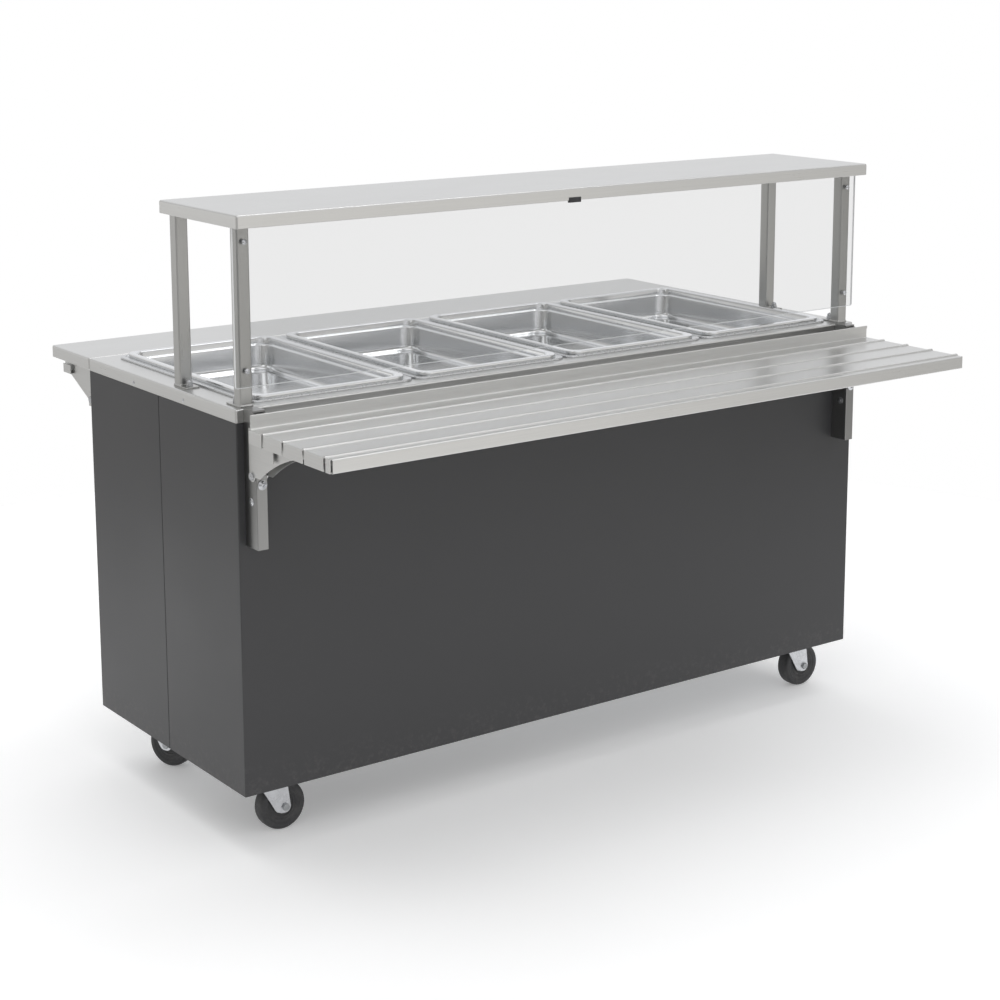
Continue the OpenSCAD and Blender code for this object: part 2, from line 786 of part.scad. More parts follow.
module pan(i) {
    floor_z = pan_top - pan_h;
    step = 12;                      // the shoulder below the flange
    color("#c4c8ca") translate([well_x(i), well_y, 0]) difference() {
        union() {
            translate([0, 0, pan_top - pan_lip]) linear_extrude(pan_lip)
                rounded(pan_flange_w, pan_flange_d, 24);
            translate([0, 0, pan_top - step]) linear_extrude(step)
                rounded(pan_open_w + 2 * pan_t, pan_open_d + 2 * pan_t, 22 + pan_t);
            translate([0, 0, floor_z]) linear_extrude(pan_h - step)
                rounded(pan_open_w - 16 + 2 * pan_t, pan_open_d - 16 + 2 * pan_t, 26 + pan_t);
        }
        difference() {
            translate([0, 0, pan_top - pan_lip - eps]) linear_extrude(pan_lip + eps - pan_t)
                rounded(pan_flange_w - 2 * pan_t, pan_flange_d - 2 * pan_t, 24 - pan_t);
            translate([0, 0, pan_top - step]) linear_extrude(step)
                rounded(pan_open_w + 2 * pan_t, pan_open_d + 2 * pan_t, 22 + pan_t);
        }
        translate([0, 0, pan_top - step + pan_t]) linear_extrude(step)
            rounded(pan_open_w, pan_open_d, 22);
        translate([0, 0, floor_z + pan_t]) linear_extrude(pan_h)
            rounded(pan_open_w - 16, pan_open_d - 16, 26);
    }
}

// ---- Casters ----

module at_corner(i) {
    translate([corner_x(i), corner_y(i), 0]) children();
}

module at_caster(i) {
    at_corner(i) rotate([0, 0, caster_turn[i]]) children();
}

module caster_bolt_holes(z0, z1) {
    for (i = [0:3]) at_corner(i)
        for (sx = [-1, 1], sy = [-1, 1])
            translate([sx * bolt_dx, sy * bolt_dy, z0]) cylinder(h = z1 - z0, r = 4 + loose);
}

// A mounting plate with its raceway and the kingpin that holds the fork
module caster_plates() {
    plate_z = base_z - caster_plate_t;
    color("#c2c5c8") for (i = [0:3]) at_corner(i) difference() {
        union() {
            translate([-33, -46, plate_z]) cube([66, 92, caster_plate_t]);
            translate([0, 0, crown_z + 0.3]) cylinder(h = plate_z - crown_z, r = 24);
            translate([0, 0, crown_z - crown_t - 4]) cylinder(h = crown_t + 6, r = 6);
            translate([0, 0, crown_z - crown_t - 4.5]) cylinder(h = 4.2, r = 10);
        }
        for (sx = [-1, 1], sy = [-1, 1])
            translate([sx * bolt_dx, sy * bolt_dy, plate_z - eps])
                cylinder(h = caster_plate_t + 2 * eps, r = 4 + loose);
    }
}

module caster_bolts() {
    plate_z = base_z - caster_plate_t;
    color("#2a2a2c") for (i = [0:3]) at_corner(i)
        for (sx = [-1, 1], sy = [-1, 1])
            translate([sx * bolt_dx, sy * bolt_dy, 0]) {
                translate([0, 0, plate_z - 4.5]) cylinder(h = 4.5, r = 6.5, $fn = 6);
                translate([0, 0, plate_z - eps]) cylinder(h = 14, r = 4);
            }
}

// Outline of a fork leg in (x, z): broad under the crown, round at the axle
module fork_leg(braked) {
    difference() {
        union() {
            polygon([[-34, crown_z], [30, crown_z], [trail + 7, axle_z + 36], [trail + 12, axle_z],
                [trail, axle_z - 12], [trail - 16, axle_z - 9], [trail - 19, axle_z - 6]]);
            translate([trail, axle_z]) circle(12);
            if (braked) polygon([[0, crown_z], [brake_x + 8, crown_z],
                [brake_x + 8, brake_z - 6], [trail + 8, brake_z - 22]]);
        }
        translate([trail, axle_z]) circle(axle_r + 0.1);
        if (braked) translate([brake_x, brake_z]) circle(3 + fit);
    }
}

module fork(i) {
    color("#c9ccd0") at_caster(i) difference() {
        union() {
            translate([0, 0, crown_z - crown_t]) cylinder(h = crown_t, r = 30);
            translate([-34, -leg_y - leg_t, crown_z - crown_t]) cube([64, 2 * (leg_y + leg_t), crown_t]);
            for (y = [-leg_y, leg_y + leg_t])
                translate([0, y, 0]) rotate([90, 0, 0]) linear_extrude(leg_t) fork_leg(i > 1);
        }
        translate([0, 0, crown_z - 2 * crown_t]) cylinder(h = 4 * crown_t, r = 6 + fit);
    }
}

module wheel(i) {
    r = wheel_d / 2;
    h = wheel_w / 2;
    color("#3c3c3e") at_caster(i) translate([trail, 0, axle_z]) rotate([90, 0, 0])
        rotate_extrude($fn = 96) polygon([
            [axle_r + fit, -h - 2], [12, -h - 2], [14, -h + 4], [27, -h + 5], [29, -h + 2],
            [r - 14, -h + 2], [r - 12, -h], [r - 5, -h], [r - 1, -h + 5], [r, -h + 10],
            [r, h - 10], [r - 1, h - 5], [r - 5, h], [r - 12, h], [r - 14, h - 2],
            [29, h - 2], [27, h - 5], [14, h - 4], [12, h + 2], [axle_r + fit, h + 2]
        ]);
}

module axle(i) {
    y1 = leg_y + leg_t;
    color("#d9dbdd") at_caster(i) translate([trail, 0, axle_z]) rotate([90, 0, 0]) {
        translate([0, 0, -y1 - 3]) cylinder(h = 2 * y1 + 6, r = axle_r);
        translate([0, 0, y1]) cylinder(h = 5, r = 7.5, $fn = 6);
        translate([0, 0, -y1 - 5]) cylinder(h = 5, r = 7.5, $fn = 6);
    }
}

// Outline of the foot pedal in (x, z): a hub and a tread that turns up at its end
module pedal_side() {
    circle(6);
    polygon([[-3, 5], [18, 2], [25, 7], [27, 4.6], [19, -1.4], [0, -1]]);
}

module brake(i) {
    w = 2 * leg_y - 3;
    pin = 2 * (leg_y + leg_t + 1);
    color("#b9bcbf") at_caster(i) translate([brake_x, 0, brake_z]) rotate([90, 0, 0]) {
        translate([0, 0, -pin / 2]) cylinder(h = pin, r = 3);
        translate([0, 0, -w / 2]) linear_extrude(w) pedal_side();
    }
}

worktop();
front_panel();
end_panels();
base_deck();
uprights();
long_rails();
cross_rails();
control_panel();
heating_elements();
drain_manifold();
drain_valve();
drain_lever();
thermostats();
indicator_lights();
switch_housing();
power_rocker();
power_inlet();
overshelf();
shelf_posts();
guard();
guard_clip();
guard_screws();
post_bolts();
lip_rivets();
tray_brackets();
bracket_bolts();
pivot_pins();
tray_slide();
tray_arms();
rear_shelf();
shelf_brackets();
shelf_arms();
caster_plates();
caster_bolts();
for (i = WELLS) well(i);
for (i = WELLS) pan(i);
for (i = WELLS) knob(i);
for (i = [0:3]) fork(i);
for (i = [0:3]) wheel(i);
for (i = [0:3]) axle(i);
for (i = [2, 3]) brake(i);
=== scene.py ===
"""Visual model of a mobile steam table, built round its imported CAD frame."""
import json
import math

import bmesh
import bpy
from mathutils import Matrix, Vector


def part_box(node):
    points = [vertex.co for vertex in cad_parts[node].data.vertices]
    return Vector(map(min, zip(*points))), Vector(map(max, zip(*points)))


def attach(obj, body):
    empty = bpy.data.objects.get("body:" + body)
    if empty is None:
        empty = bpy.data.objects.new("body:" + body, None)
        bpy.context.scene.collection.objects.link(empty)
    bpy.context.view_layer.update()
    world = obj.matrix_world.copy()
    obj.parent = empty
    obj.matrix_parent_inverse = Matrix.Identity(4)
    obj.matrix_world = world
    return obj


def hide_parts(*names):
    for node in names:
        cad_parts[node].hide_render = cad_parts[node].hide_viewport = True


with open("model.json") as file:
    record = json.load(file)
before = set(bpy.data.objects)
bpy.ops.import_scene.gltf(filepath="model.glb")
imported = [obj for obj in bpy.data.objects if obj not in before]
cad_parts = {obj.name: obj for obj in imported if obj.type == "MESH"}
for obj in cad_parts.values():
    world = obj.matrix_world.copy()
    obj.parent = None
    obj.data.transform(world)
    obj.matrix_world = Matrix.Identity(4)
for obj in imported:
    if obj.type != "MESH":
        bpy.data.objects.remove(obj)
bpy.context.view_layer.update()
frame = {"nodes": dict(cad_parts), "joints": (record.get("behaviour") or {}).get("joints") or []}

# Shapes are drawn in millimetres and scaled once, in piece()
MM = 1000.0
SHEET = 1.5
JOINTS = {j["name"]: j for j in frame["joints"]}
CORNERS = ["front_left", "front_right", "rear_left", "rear_right"]
AXES = {
    "x": lambda u, v, w: (w, u, v),
    "y": lambda u, v, w: (u, w, v),
    "z": lambda u, v, w: (u, v, w),
}


# ---- Reading the frame ----

def corners(node):
    """The lowest and highest corner of a CAD node, in millimetres."""
    low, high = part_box(node)
    return low * MM, high * MM


def joint_at(name):
    return Vector(JOINTS[name]["pos_m"]) * MM


# ---- Outlines ----

def arc(cu, cv, r, start, end, steps=6):
    """Points along an arc in a plane, from start to end in degrees."""
    turn = [math.radians(start + (end - start) * k / steps) for k in range(steps + 1)]
    return [(cu + r * math.cos(a), cv + r * math.sin(a)) for a in turn]


def rectangle(u0, v0, u1, v1, r, steps=4):
    """A rectangle with round corners, counterclockwise."""
    r = max(r, 0.02)
    return (
        arc(u1 - r, v1 - r, r, 0, 90, steps)
        + arc(u0 + r, v1 - r, r, 90, 180, steps)
        + arc(u0 + r, v0 + r, r, 180, 270, steps)
        + arc(u1 - r, v0 + r, r, 270, 360, steps)
    )


def ring(cx, cy, w, d, r, z, steps=6):
    """A rounded rectangle round (cx, cy) at height z."""
    outline = rectangle(cx - w / 2, cy - d / 2, cx + w / 2, cy + d / 2, r, steps)
    return [(x, y, z) for x, y in outline]


def bent(points, radii, steps=4):
    """The path through the points, with each bend rounded. radii holds one radius a bend."""
    points = [Vector(p) for p in points]
    path = [points[0]]
    for a, b, c, r in zip(points, points[1:], points[2:], radii):
        back, on = (a - b).normalized(), (c - b).normalized()
        reach = min(r / math.tan(back.angle(on) / 2), (a - b).length * 0.49, (c - b).length * 0.49)
        start, end = b + back * reach, b + on * reach
        for k in range(steps + 1):
            t = k / steps
            path.append(start * (1 - t) ** 2 + b * 2 * t * (1 - t) + end * t * t)
    return path + [points[-1]]


def beside(path, t):
    """A copy of the path, t to its left."""
    path = [Vector(p) for p in path]
    copy = []
    for k, p in enumerate(path):
        before = (p - path[k - 1]).normalized() if k else None
        after = (path[k + 1] - p).normalized() if k < len(path) - 1 else before
        before = before or after
        left = Vector((-(before + after).y, (before + after).x)).normalized()
        square = Vector((-before.y, before.x))
        copy.append(p + left * t / max(left.dot(square), 0.35))
    return copy


def ribbon(path, t):
    """The closed outline of a sheet t thick that follows the path."""
    return [tuple(p) for p in path] + [tuple(p) for p in reversed(beside(path, t))]


# ---- Solids ----

def skin(bm, rows):
    """Quads between closed rows of points that match one to one. Returns the rows' vertices."""
    made = [[bm.verts.new(p) for p in row] for row in rows]
    for low, high in zip(made, made[1:]):
        for k in range(len(low)):
            m = (k + 1) % len(low)
            bm.faces.new((low[k], low[m], high[m], high[k]))
    return made


def capped(bm, rows):
    made = skin(bm, rows)
    bm.faces.new(made[0])
    bm.faces.new(made[-1])


def prism(bm, outline, low, high, axis):
    """The outline, pushed along an axis from low to high."""
    capped(bm, [[AXES[axis](u, v, w) for u, v in outline] for w in (low, high)])


def slab(bm, low, high, r, axis="z", edge=0.4):
    """A plate with round corners in the plane across the axis, and eased edges."""
    place = AXES[axis]
    order = {"x": (1, 2, 0), "y": (0, 2, 1), "z": (0, 1, 2)}[axis]
    u, v, w = order
    rows = []
    for inset, at in ((edge, low[w]), (0, low[w] + edge), (0, high[w] - edge), (edge, high[w])):
        outline = rectangle(
            low[u] + inset, low[v] + inset, high[u] - inset, high[v] - inset, r - inset
        )
        rows.append([place(a, b, at) for a, b in outline])
    capped(bm, rows)


def tube(bm, low, high, r, t):
    """An upright box tube with round corners and a wall t thick."""
    rows = []
    for inset, z in ((0, low.z), (0, high.z), (t, high.z), (t, low.z), (0, low.z)):
        outline = rectangle(low.x + inset, low.y + inset, high.x - inset, high.y - inset, r - inset)
        rows.append([(x, y, z) for x, y in outline])
    skin(bm, rows)


def turned(bm, profile, at, axis, steps=64):
    """Turns a profile of (radius, height) about an axis through a point."""
    turn = Vector((0, 0, 1)).rotation_difference(Vector(axis)).to_matrix()
    rows = []
    for r, h in profile:
        round_ = [(r * math.cos(a), r * math.sin(a), h) for a in angles(steps)]
        rows.append([Vector(at) + turn @ Vector(p) for p in round_])
    skin(bm, rows)


def angles(steps):
    return [2 * math.pi * k / steps for k in range(steps)]


def fill(bm, loops):
    """A flat face inside the first loop of vertices and outside the others."""
    if len(loops) == 1:
        bm.faces.new(loops[0])
        return
    edges = []
    for loop in loops:
        for a, b in zip(loop, loop[1:] + loop[:1]):
            edges.append(bm.edges.get((a, b)) or bm.edges.new((a, b)))
    bmesh.ops.triangle_fill(bm, edges=edges, use_beauty=True, normal=(0, 0, 1))


def folded_sheet(bm, low, high, flange, bend=3.5, corner=4.0, holes=()):
    """A sheet folded down all round. holes are (cx, cy, width, depth, radius) in its top."""
    cx, cy = (low.x + high.x) / 2, (low.y + high.y) / 2
    w, d = high.x - low.x, high.y - low.y
    outer = [(u, -v) for u, v in arc(bend, -bend, bend, 90, 180, 4)]
    inner = [(u, -v) for u, v in arc(bend, -bend, bend - SHEET, 180, 90, 4)]
    lip = [(0, flange - 0.5), (0.5, flange), (SHEET - 0.5, flange), (SHEET, flange - 0.5)]
    rows = [
        ring(cx, cy, w - 2 * inset, d - 2 * inset, corner - inset, high.z - drop, 4)
        for inset, drop in outer + lip + inner
    ]
    made = skin(bm, rows)
    cuts = []
    for x, y, hw, hd, hr in holes:
        cuts.append(skin(bm, [ring(x, y, hw, hd, hr, high.z - drop, 6) for drop in (0, SHEET)]))
    fill(bm, [made[0]] + [cut[0] for cut in cuts])
    fill(bm, [made[-1]] + [cut[1] for cut in cuts])


# ---- Objects ----

def soften(obj, width, weld=False):
    """Eases the edges of an object, where it has a width for that, and evens out its shading."""
    if weld:
        obj.modifiers.new("weld", "WELD").merge_threshold = 0.00002
    if width:
        bevel = obj.modifiers.new("edges", "BEVEL")
        bevel.width = width / MM
        bevel.segments = 2
        bevel.limit_method = "ANGLE"
        bevel.angle_limit = math.radians(40)
    obj.modifiers.new("shading", "WEIGHTED_NORMAL").keep_sharp = not width


def piece(name, bm, materials, body, nodes, bevel=0.0):
    """Makes an object of the mesh, riding on a body and standing for CAD nodes."""
    bmesh.ops.scale(bm, vec=(1 / MM,) * 3, verts=bm.verts)
    bmesh.ops.remove_doubles(bm, verts=bm.verts, dist=0.000001)
    bmesh.ops.recalc_face_normals(bm, faces=bm.faces)
    mesh = bpy.data.meshes.new(name)
    bm.to_mesh(mesh)
    bm.free()
    for material in materials:
        mesh.materials.append(material)
    mesh.shade_smooth()
    obj = bpy.data.objects.new(name, mesh)
    bpy.context.scene.collection.objects.link(obj)
    mesh.set_sharp_from_angle(angle=math.radians(40))
    soften(obj, bevel)
    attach(obj, body)
    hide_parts(*nodes)
    return obj


def dress(names, material, edge=0.3):
    """Gives CAD nodes a material and soft edges, and leaves their shape alone."""
    for name in names:
        obj = frame["nodes"][name]
        obj.data.materials.clear()
        obj.data.materials.append(material)
        soften(obj, edge, weld=True)


# ---- Material nodes ----

def shader(name, colour, roughness, metallic=0.0, **sockets):
    """A material with its node tree and its Principled node."""
    material = bpy.data.materials.new(name)
    material.use_nodes = True
    base = material.node_tree.nodes["Principled BSDF"]
    base.inputs["Base Color"].default_value = (*colour, 1)
    base.inputs["Roughness"].default_value = roughness
    base.inputs["Metallic"].default_value = metallic
    for socket, value in sockets.items():
        base.inputs[socket.replace("_", " ")].default_value = value
    return material, material.node_tree, base


def wire(tree, kind, values, **settings):
    """Adds a node. values holds its inputs, each a constant or another node's output."""
    made = tree.nodes.new("ShaderNode" + kind)
    for key, value in settings.items():
        setattr(made, key, value)
    for key, value in values.items():
        if isinstance(value, bpy.types.NodeSocket):
            tree.links.new(value, made.inputs[key])
        else:
            made.inputs[key].default_value = value
    return made


def noise(tree, stretch, detail=3.0, rough=0.5):
    """Noise in the object's own metres. stretch is its number of features a metre along X, Y, Z."""
    place = wire(tree, "TexCoord", {})
    mapping = wire(tree, "Mapping", {"Vector": place.outputs["Object"], "Scale": stretch})
    sizes = {"Vector": mapping.outputs[0], "Scale": 1.0, "Detail": detail, "Roughness": rough}
    return wire(tree, "TexNoise", sizes).outputs[0]


def remap(tree, value, low, high, start=0.3, end=0.7):
    """Maps start to end onto low to high."""
    sizes = {"Value": value, "From Min": start, "From Max": end, "To Min": low, "To Max": high}
    return wire(tree, "MapRange", sizes).outputs[0]


def maths(tree, operation, *values):
    return wire(tree, "Math", dict(enumerate(values)), operation=operation).outputs[0]


def mixed(tree, factor, a, b, mode="MIX"):
    """Mixes two colours."""
    made = wire(tree, "Mix", {0: factor, 6: a, 7: b}, data_type="RGBA", blend_type=mode)
    return made.outputs[2]


def shade(colour, k):
    return (colour[0] * k, colour[1] * k, colour[2] * k, 1)


def bump(tree, base, height, strength, distance):
    made = wire(tree, "Bump", {"Height": height, "Strength": strength, "Distance": distance})
    tree.links.new(made.outputs[0], base.inputs["Normal"])


def facing(tree, axis):
    """How squarely a face looks along one of the object's own axes, from 0 to 1."""
    place = wire(tree, "TexCoord", {})
    split = wire(tree, "SeparateXYZ", {0: place.outputs["Normal"]})
    return maths(tree, "ABSOLUTE", split.outputs[axis])


# ---- Materials ----

def brushed(name, colour, roughness, grain, depth=0.05):
    """Brushed stainless steel with its grain along an axis. On end faces the grain turns."""
    material, tree, base = shader(name, colour, roughness, metallic=1.0)
    stretch = {"x": (5, 700, 700), "y": (700, 5, 700), "z": (700, 700, 5)}
    fine = noise(tree, stretch[grain], 4.0, 0.6)
    if grain == "x":
        end = remap(tree, facing(tree, "X"), 0, 1, 0.6, 0.8)
        ends = noise(tree, stretch["y"], 4.0, 0.6)
        fine = wire(tree, "Mix", {0: end, 2: fine, 3: ends}, data_type="FLOAT").outputs[0]
    patches = noise(tree, (2.2, 3.1, 3.1), 3.0)
    smears = noise(tree, (9, 14, 14), 4.0, 0.62)
    lines = mixed(tree, remap(tree, fine, 0, 1, 0.25, 0.75), shade(colour, 0.95), shade(colour, 1.04))
    worn = mixed(tree, remap(tree, patches, 0, 0.4), lines, shade(colour, 0.975))
    tree.links.new(worn, base.inputs["Base Color"])
    grainy = remap(tree, fine, roughness - 0.03, roughness + 0.03, 0.2, 0.8)
    handled = remap(tree, smears, -0.012, 0.02, 0.35, 0.7)
    tree.links.new(maths(tree, "ADD", grainy, handled), base.inputs["Roughness"])
    bump(tree, base, fine, depth, 0.0001)
    return material


def satin(name, colour, roughness, scale=60.0, spots=0.04, metallic=1.0):
    """Plain metal with a fine mottled finish, a few marks and a light grain."""
    material, tree, base = shader(name, colour, roughness, metallic=metallic)
    mottle = noise(tree, (scale,) * 3, 5.0, 0.6)
    marks = noise(tree, (scale * 9,) * 3, 3.0, 0.6)
    low, high = shade(colour, 1 - 3 * spots), shade(colour, 1 + spots)
    tree.links.new(mixed(tree, remap(tree, mottle, 0, 1), low, high), base.inputs["Base Color"])
    uneven = remap(tree, mottle, roughness - 0.06, roughness + 0.1)
    tree.links.new(uneven, base.inputs["Roughness"])
    bump(tree, base, marks, 0.06, 0.00008)
    return material


def pan_steel():
    """Drawn and polished steel: a clean mirror with soft wear and hair scratches on the floor."""
    colour = (0.80, 0.81, 0.82)
    material, tree, base = shader("pan_steel", colour, 0.13, metallic=1.0)
    ware = noise(tree, (14, 14, 14), 3.0, 0.5)
    scratch = noise(tree, (40, 900, 60), 4.0, 0.7)
    tone = mixed(tree, remap(tree, ware, 0, 0.5), shade(colour, 1.0), shade(colour, 0.94))
    tree.links.new(tone, base.inputs["Base Color"])
    smooth = remap(tree, ware, 0.11, 0.16)
    lines = remap(tree, scratch, 0, 0.04, 0.5, 0.75)
    tree.links.new(maths(tree, "ADD", smooth, lines), base.inputs["Roughness"])
    bump(tree, base, scratch, 0.03, 0.00005)
    return material


def charcoal(name, colour):
    """Powder-coated sheet: a fine orange peel, faint clouding and dust towards the floor."""
    material, tree, base = shader(name, colour, 0.42, Specular_IOR_Level=0.42)
    peel = noise(tree, (420,) * 3, 2.0)
    cloud = noise(tree, (3, 3, 4), 3.0)
    place = wire(tree, "TexCoord", {})
    height = wire(tree, "SeparateXYZ", {0: place.outputs["Object"]}).outputs["Z"]
    low_down = remap(tree, height, 1, 0, 0.116, 0.19)
    speckle = remap(tree, noise(tree, (90,) * 3, 5.0, 0.7), 0, 1, 0.5, 0.7)
    dust = maths(tree, "MULTIPLY", maths(tree, "MULTIPLY", low_down, speckle), 0.10)
    clouded = mixed(tree, remap(tree, cloud, 0, 1), shade(colour, 0.95), shade(colour, 1.05))
    dusty = mixed(tree, dust, clouded, (0.34, 0.32, 0.30, 1))
    tree.links.new(dusty, base.inputs["Base Color"])
    tree.links.new(remap(tree, cloud, 0.38, 0.46), base.inputs["Roughness"])
    bump(tree, base, peel, 0.08, 0.0004)
    return material


def rubber():
    """Moulded rubber tread and core, with grey floor dust in its low spots."""
    colour = (0.035, 0.035, 0.037)
    material, tree, base = shader("wheel_rubber", colour, 0.55)
    grit = noise(tree, (260,) * 3, 5.0, 0.7)
    dust = remap(tree, noise(tree, (50,) * 3, 4.0, 0.65), 0, 0.35, 0.45, 0.75)
    tree.links.new(mixed(tree, dust, (*colour, 1), (0.11, 0.105, 0.10, 1)), base.inputs["Base Color"])
    tree.links.new(remap(tree, grit, 0.42, 0.7), base.inputs["Roughness"])
    bump(tree, base, grit, 0.18, 0.0004)
    return material


def moulded(name, colour, roughness, grain=900.0):
    """Moulded plastic with a fine spark-eroded grain."""
    material, tree, base = shader(name, colour, roughness)
    texture = noise(tree, (grain,) * 3, 3.0)
    tone = noise(tree, (40,) * 3, 3.0)
    shades = mixed(tree, remap(tree, tone, 0, 1), shade(colour, 0.9), shade(colour, 1.08))
    tree.links.new(shades, base.inputs["Base Color"])
    tree.links.new(remap(tree, tone, roughness - 0.05, roughness + 0.08), base.inputs["Roughness"])
    bump(tree, base, texture, 0.12, 0.0002)
    return material


def lens():
    """An amber plastic lens, a little uneven in colour and gloss."""
    material, tree, base = shader("amber_lens", (0.85, 0.32, 0.03), 0.14, Transmission_Weight=0.35)
    swirl = noise(tree, (240,) * 3, 3.0)
    tone = mixed(tree, remap(tree, swirl, 0, 1), (0.80, 0.27, 0.02, 1), (0.90, 0.38, 0.05, 1))
    tree.links.new(tone, base.inputs["Base Color"])
    tree.links.new(remap(tree, swirl, 0.10, 0.20), base.inputs["Roughness"])
    return material


def clear(name, colour, alpha):
    """Clear sheet. Its alpha stays a constant, so that it survives export."""
    return shader(name, colour, 0.04, Alpha=alpha, IOR=1.49)[0]


STEEL = (0.70, 0.70, 0.69)
M = {
    "top": brushed("brushed_stainless", STEEL, 0.30, "x"),
    # The uprights get a darker copy of the tops' stainless: painted shade.
    "post": brushed("shaded_stainless_upright", (0.52, 0.52, 0.51), 0.30, "z"),
    # The brackets get the same stainless painted much darker: painted shade.
    "bracket": brushed("shaded_stainless_bracket", (0.30, 0.30, 0.296), 0.30, "z"),
    "arm": brushed("brushed_stainless_arm", (0.66, 0.66, 0.65), 0.34, "y"),
    "well": satin("well_steel", (0.68, 0.69, 0.70), 0.28, 110.0, 0.02),
    "pan": pan_steel(),
    "paint": charcoal("charcoal_panel", (0.044, 0.044, 0.046)),
    "frame": satin("frame_steel", (0.52, 0.53, 0.54), 0.42, 45.0, 0.08),
    "guard": clear("clear_acrylic", (0.10, 0.11, 0.11), 0.10),
    # Near-white and nearly opaque on the guard's edge faces: a painted highlight.
    "guard_edge_highlight": clear("clear_acrylic_painted_highlight", (0.93, 0.95, 0.96), 0.85),
    "zinc": satin("zinc", (0.60, 0.61, 0.63), 0.24, 90.0, 0.06),
    "fork": satin("zinc_fork", (0.66, 0.67, 0.69), 0.26, 70.0, 0.05),
    # The axle heads get zinc painted darker than the other zinc: painted shade.
    "axle": satin("shaded_zinc_axle", (0.40, 0.41, 0.42), 0.2, 90.0, 0.06),
    "black": satin("black_bolt", (0.03, 0.03, 0.032), 0.38, 120.0, 0.1, 0.4),
    "rubber": rubber(),
    "heater": satin("heater_sheath", (0.20, 0.18, 0.16), 0.46, 80.0, 0.12),
    "pipe": satin("pipe_steel", (0.50, 0.51, 0.52), 0.32, 50.0, 0.08),
    "brass": satin("valve_brass", (0.70, 0.50, 0.22), 0.30, 70.0, 0.08),
    "red": moulded("red_plastic", (0.50, 0.035, 0.025), 0.34),
    "plastic": moulded("black_plastic", (0.022, 0.022, 0.024), 0.42),
    "cream": moulded("cream_plastic", (0.62, 0.58, 0.48), 0.45),
    "amber": lens(),
    "clip": satin("dark_clip", (0.07, 0.07, 0.075), 0.42, 120.0, 0.1, 0.6),
    "mark": moulded("white_mark", (0.80, 0.80, 0.78), 0.5),
}


# ---- Worktop and cabinet ----

def worktop():
    low, high = corners("worktop")
    holes = []
    for i in range(1, 5):
        a, b = corners(f"well_{i}")
        holes.append(((a.x + b.x) / 2, (a.y + b.y) / 2, 314, 517, 22))
    bm = bmesh.new()
    folded_sheet(bm, low, high, high.z - low.z, holes=holes)
    piece("worktop_sheet", bm, [M["top"]], "cabinet", ["worktop"])


def folded_wall(bm, path, radii, low, high, inward):
    """A wall of bent sheet that follows a path in plan, with its bottom edge folded in."""
    line = bent(path, radii)
    prism(bm, ribbon(line, inward * SHEET), low.z + 0.1, high.z, "z")
    shelf = ribbon(beside(line[1:-1], inward * (SHEET - 0.2)), inward * 12)
    prism(bm, shelf, low.z, low.z + SHEET, "z")


def front_panel():
    low, high = corners("front_panel")
    path = [
        (low.x + 14, high.y), (low.x, high.y), (low.x, low.y),
        (high.x, low.y), (high.x, high.y), (high.x - 14, high.y),
    ]
    bm = bmesh.new()
    folded_wall(bm, path, [2, 2.5, 2.5, 2], low, high, 1)
    piece("front_panel_wrap", bm, [M["paint"]], "cabinet", ["front_panel"], 0.35)


def end_panels():
    low, high = corners("end_panels")
    bm = bmesh.new()
    for side, x in ((1, low.x), (-1, high.x)):
        path = [(x + side * 14, low.y), (x, low.y), (x, high.y), (x + side * 28, high.y)]
        folded_wall(bm, path, [2, 2.5], low, high, -side)
    piece("end_panel_pair", bm, [M["paint"]], "cabinet", ["end_panels"], 0.35)


# ---- Wells and pans ----

def well(i):
    """One well: a beaded rim, straight walls, a round-cornered floor and a drain socket."""
    low, high = corners(f"well_{i}")
    cx, cy = (low.x + high.x) / 2, (low.y + high.y) / 2
    top, floor = high.z, low.z + 14
    deep = 540 - 355        # the rim is this much longer than it is wide
    body = 513 - 310        # and so is the opening
    rows = [(156.5, body, 21.5, top - 3.95), (177.2, deep, 21.8, top - 3.95)]
    rows += [(177.5, deep, 22, top - 3.6), (177.5, deep, 22, top - 1.6), (177, deep, 21.6, top - 0.5)]
    rows += [(176, deep, 21, top), (170.5, deep, 19, top), (169.6, deep, 18.6, top - 0.9)]
    rows += [(166.8, deep, 18, top - 0.9), (165.8, deep, 18, top), (157.5, body, 21, top)]
    rows += [(155.6, body, 20.4, top - 0.6), (155, body, 20, top - 2)]
    fillet = 10
    for u, v in arc(155 - fillet, floor + SHEET + fillet, fillet, 0, -90, 5):
        rows.append((u, body, 20 - (155 - u) * 0.6, v))
    rows += [(12, 0, 12, floor + SHEET - 1), (10, 0, 10, floor + SHEET - 1.6)]
    rows += [(10, 0, 10, low.z), (14, 0, 14, low.z), (14, 0, 14, floor), (144, body, 14, floor)]
    rows += [(154.5, body, 20.5, floor + 3), (156.5, body, 21.5, floor + 10), rows[0]]
    bm = bmesh.new()
    skin(bm, [ring(cx, cy, 2 * u, 2 * u + longer, r, z) for u, longer, r, z in rows])
    piece(f"well_{i}_liner", bm, [M["well"]], "cabinet", [f"well_{i}"])


def pan_profile(top, floor):
    """Half the pan's section as (half width, height), from the turned-down edge to the floor."""
    lip = [(162.5, top - 5.8), (162.5, top - 1.4), (162.1, top - 0.4), (161.3, top)]
    lip += [(153, top), (151.4, top - 0.9), (150.3, top - 3), (149.3, top - 11.5)]
    lip += [(148.5, top - 12), (144, top - 13.6), (142.8, top - 15.5), (139.5, floor + 15)]
    fillet = arc(139.5 - 12, floor + 13.4, 12, 0, -90, 6)
    return lip + fillet + [(90, floor + 1.9), (45, floor + 2.2)]


def pan_corner(u):
    """The corner radius of the pan's section at a half width."""
    if u > 149:
        return 22 + (u - 149) * 0.15
    if u > 139.5:
        return 30 - (u - 139.5) * 0.8
    return max(30 - (139.5 - u) * 0.9, 8)


